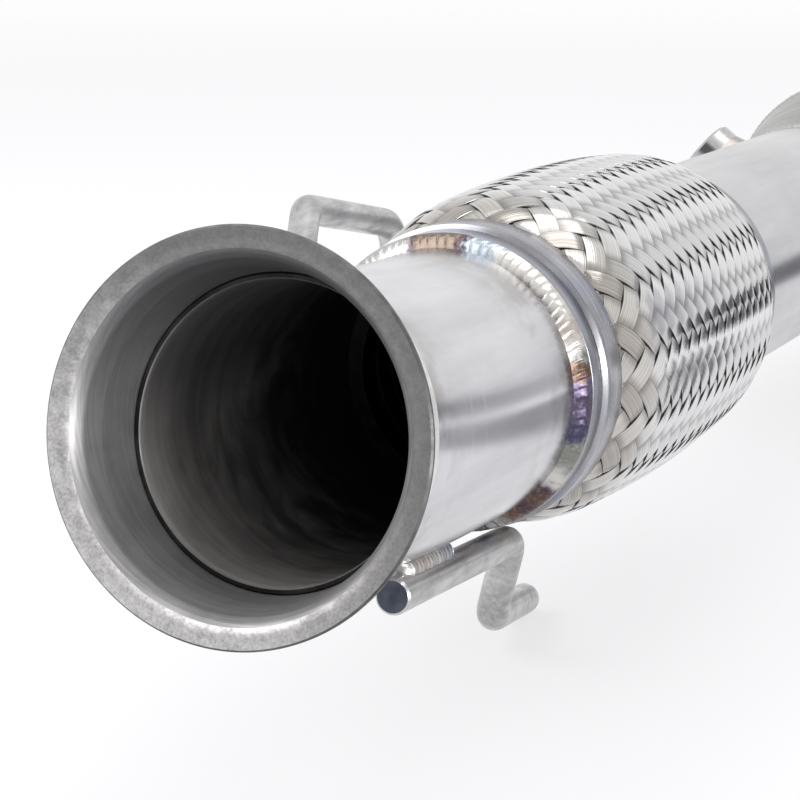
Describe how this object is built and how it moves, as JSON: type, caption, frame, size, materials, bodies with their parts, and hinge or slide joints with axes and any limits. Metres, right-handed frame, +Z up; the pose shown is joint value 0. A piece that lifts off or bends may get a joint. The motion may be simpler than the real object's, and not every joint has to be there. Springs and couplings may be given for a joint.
{
  "type": "turbo downpipe",
  "caption": "Exhaust downpipe: turbo flange, elbow, catalyst can, boss, braided flex joint and flared outlet with hanger rods.",
  "frame": {"origin": "centre of the turbo flange's sealing face, which lies on the floor", "axes": "+Z up out of the turbo flange and the elbow, +Y from the flared outlet along the straight run to the elbow, +X across the run"},
  "size_m": [0.1515, 0.8719, 0.1495],
  "materials": {
    "flange": "satin",
    "pipe": "satin",
    "weld": "satin",
    "can": "satin",
    "mat": "matte",
    "brick": "matte",
    "boss": "machined",
    "collar": "satin",
    "liner": "satin",
    "bellows": "satin",
    "braid": "bright wire",
    "flare": "brushed",
    "rod": "bright drawn"
  },
  "bodies": {
    "root": {"turbo_flange": "flange", "elbow": "pipe", "flange_weld": "weld", "rear_cone": "can", "front_cone": "can", "can_shell": "can", "can_mat": "mat", "catalyst_brick": "brick", "elbow_weld": "weld", "can_rear_weld": "weld", "can_front_weld": "weld", "mid_pipe_weld": "weld", "mid_pipe": "pipe", "lambda_boss": "boss", "boss_weld": "weld", "flex_front_collar": "collar", "flex_rear_collar": "collar", "flex_front_weld": "weld", "flex_rear_weld": "weld", "flex_liner": "liner", "flex_bellows": "bellows", "flex_braid": "braid", "outlet_pipe": "pipe", "flare_ring": "flare", "flare_weld": "weld", "lower_hanger": "rod", "lower_hanger_weld": "weld", "upper_hanger": "rod", "upper_hanger_weld": "weld"}
  },
  "joints": []
}
